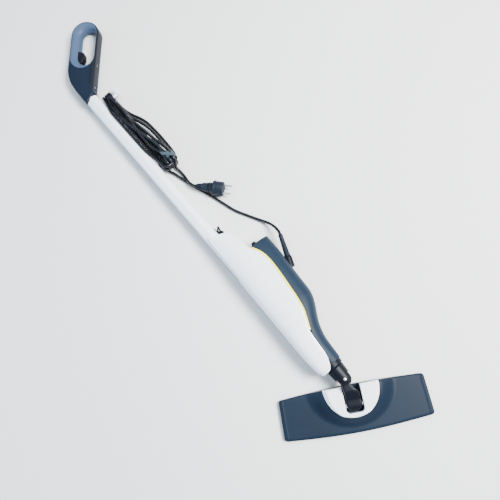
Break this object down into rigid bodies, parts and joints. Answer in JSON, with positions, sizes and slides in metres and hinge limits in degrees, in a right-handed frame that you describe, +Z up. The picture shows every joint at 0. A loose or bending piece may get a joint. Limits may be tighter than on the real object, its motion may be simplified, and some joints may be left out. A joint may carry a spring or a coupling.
{
  "type": "steam mop",
  "caption": "Upright electric steam mop without its tank, lying on its side: looped trigger handle, ridged tube, boiler casing, tied mains lead and jointed wide flat head.",
  "frame": {"origin": "middle of the flat sole of the mop head, on the floor", "axes": "+X along the head's long side, +Y from the head's front edge to its back edge, where the handle end lies, +Z up out of the floor"},
  "size_m": [0.6629, 1.1001, 0.0779],
  "materials": {
    "white_gloss": "gloss",
    "slate_plastic": "fine satin texture",
    "grip_grey": "soft satin",
    "black_plastic": "satin",
    "yellow_plastic": "satin",
    "steel": "brushed",
    "cord_rubber": "matt",
    "seal_rubber": "matt",
    "pad_fabric": "hook pile",
    "board": "solder mask",
    "strap_fabric": "woven"
  },
  "bodies": {
    "head": {"head_plate": "slate_plastic", "head_cover": "white_gloss", "sole_plate": "black_plastic", "hook_pad_left": "pad_fabric", "hook_pad_right": "pad_fabric", "steam_channel": "black_plastic", "head_screw_1": "steel", "head_screw_2": "steel", "head_screw_3": "steel", "head_screw_4": "steel", "front_lip": "seal_rubber", "back_lip": "seal_rubber", "pitch_axle": "steel"},
    "knuckle": {"knuckle": "black_plastic"},
    "neck": {"neck_sleeve": "black_plastic", "steer_pin": "steel", "swivel_clip": "steel"},
    "body": {"front_shell": "white_gloss", "rear_housing": "slate_plastic", "trim_strip_left": "yellow_plastic", "trim_strip_right": "yellow_plastic", "housing_screw_1": "steel", "housing_screw_2": "steel", "tube": "white_gloss", "latch_bracket": "black_plastic", "latch_pin": "steel", "cord_hook_base": "white_gloss", "strain_relief": "slate_plastic", "relief_gland": "black_plastic", "boiler": "steel", "thermostat": "steel", "pump": "black_plastic", "circuit_board": "board", "boiler_hose": "seal_rubber", "water_hose": "seal_rubber", "steam_pipe": "steel", "tank_inlet": "black_plastic", "inlet_seal": "seal_rubber", "handle_front_shell": "slate_plastic", "handle_back_shell": "slate_plastic", "handle_screw_1": "steel", "handle_screw_2": "steel", "handle_grip_insert": "grip_grey", "trigger_pin": "steel", "trigger_spring": "steel", "steam_switch": "black_plastic", "switch_wire": "seal_rubber", "neck_collar": "black_plastic", "cord_lead": "cord_rubber", "cord_hank": "cord_rubber", "hank_strap": "strap_fabric", "cord_tail": "cord_rubber", "plug_body": "cord_rubber", "plug_pin_1": "steel", "plug_pin_2": "steel"},
    "trigger": {"trigger": "black_plastic"},
    "latch": {"tank_latch": "black_plastic"},
    "hook": {"cord_hook_upper": "white_gloss"}
  },
  "joints": [
    {"name": "head_pitch", "type": "hinge", "parent": "head", "child": "knuckle", "pos_m": [0, 0.008, 0.026], "axis": [1, 0, 0], "range_deg": [0, 85]},
    {"name": "head_steer", "type": "hinge", "parent": "knuckle", "child": "neck", "pos_m": [-0.0087, 0.06318, 0.04445], "axis": [-0.0125, 0.0222, 0.9997], "range_deg": [-89.3, 30.7]},
    {"name": "neck_swivel", "type": "hinge", "parent": "neck", "child": "body", "pos_m": [-0.02533, 0.09282, 0.04358], "axis": [-0.4892, 0.8718, -0.0255], "range_deg": [0, 180]},
    {"name": "trigger_press", "type": "hinge", "parent": "body", "child": "trigger", "pos_m": [-0.48581, 0.94149, 0.01897], "axis": [-0.0125, 0.0222, 0.9997], "range_deg": [0, 8], "stiffness_Nm_per_rad": 0.6, "springref_deg": -2.86},
    {"name": "tank_latch_press", "type": "hinge", "parent": "body", "child": "latch", "pos_m": [-0.20704, 0.42989, 0.03382], "axis": [-0.0125, 0.0222, 0.9997], "range_deg": [0, 12], "stiffness_Nm_per_rad": 0.2, "springref_deg": -2.86},
    {"name": "cord_hook_turn", "type": "hinge", "parent": "body", "child": "hook", "pos_m": [-0.41243, 0.82245, 0.02254], "axis": [0.8721, 0.4894, 0], "range_deg": [0, 180]}
  ]
}
